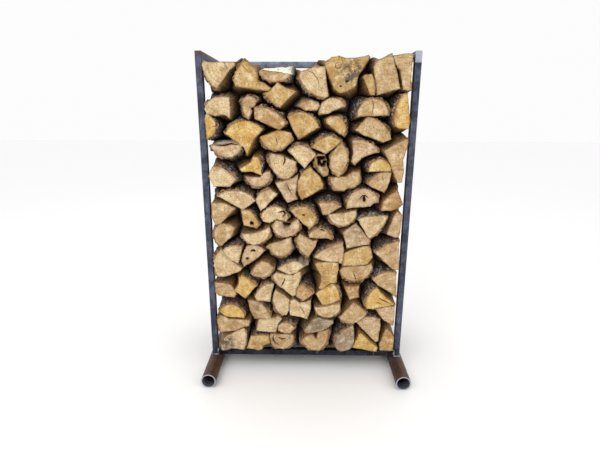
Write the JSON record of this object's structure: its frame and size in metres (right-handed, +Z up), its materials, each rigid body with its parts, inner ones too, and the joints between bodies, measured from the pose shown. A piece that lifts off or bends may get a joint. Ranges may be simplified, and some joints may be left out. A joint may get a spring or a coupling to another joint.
{
  "type": "firewood rack filled with split logs",
  "caption": "Welded steel firewood rack on pipe feet, filled to the top with split and halved logs stacked ends to the front.",
  "frame": {"origin": "on the floor under the middle of the rack", "axes": "+Z up, the log ends of the front face -Y, +X to the right seen from the front"},
  "size_m": [0.8476, 0.65, 1.2923],
  "materials": {
    "tube_steel": "blue-grey mill scale with rust spots",
    "rail_steel": "dark mill scale, blued by welding",
    "pipe_steel": "rusty mill scale",
    "split_wood": "dry split wood with bark"
  },
  "bodies": {
    "root": {"bottom_rail_back": "rail_steel", "bottom_rail_front": "rail_steel", "foot_pipe_left": "pipe_steel", "foot_pipe_right": "pipe_steel", "log_a8": "split_wood", "log_d10": "split_wood", "log_d9": "split_wood", "log_e10": "split_wood", "log_e13": "split_wood", "log_e4": "split_wood", "log_e6": "split_wood", "log_f11": "split_wood", "log_f12": "split_wood", "log_g11": "split_wood", "log_h1": "split_wood", "log_h11": "split_wood", "log_h13": "split_wood", "log_h15": "split_wood", "log_j1": "split_wood", "logs_a1_b1_c1": "split_wood", "logs_a2_a3": "split_wood", "logs_a4_b4": "split_wood", "logs_a5_a6": "split_wood", "logs_a7_b5": "split_wood", "logs_b2_b3": "split_wood", "logs_b6_d8": "split_wood", "logs_c2_d3": "split_wood", "logs_c3_c4": "split_wood", "logs_d1_d2": "split_wood", "logs_d4_d5_e5": "split_wood", "logs_d6_c5_d7": "split_wood", "logs_e11_e12": "split_wood", "logs_e1_e2": "split_wood", "logs_e3_f4": "split_wood", "logs_e7_f8": "split_wood", "logs_e8_d11_e9": "split_wood", "logs_f1_f2": "split_wood", "logs_f5_f6_f7": "split_wood", "logs_f9_f10": "split_wood", "logs_g10_h5": "split_wood", "logs_g1_f3_g2": "split_wood", "logs_g3_g4_h4": "split_wood", "logs_g7_g6_g12": "split_wood", "logs_g9_g5_h12": "split_wood", "logs_h10_h9_i2": "split_wood", "logs_h14_i5": "split_wood", "logs_h2_h3": "split_wood", "logs_h6_h8": "split_wood", "logs_h7_i1": "split_wood", "logs_i3_i4": "split_wood", "logs_i6_j2_j3": "split_wood", "logs_j4_j5": "split_wood", "logs_j7_j6_j8": "split_wood", "post_back_left": "tube_steel", "post_back_right": "tube_steel", "post_front_left": "tube_steel", "post_front_right": "tube_steel", "top_rail_back": "tube_steel", "top_rail_left": "tube_steel", "top_rail_right": "tube_steel"}
  },
  "joints": []
}
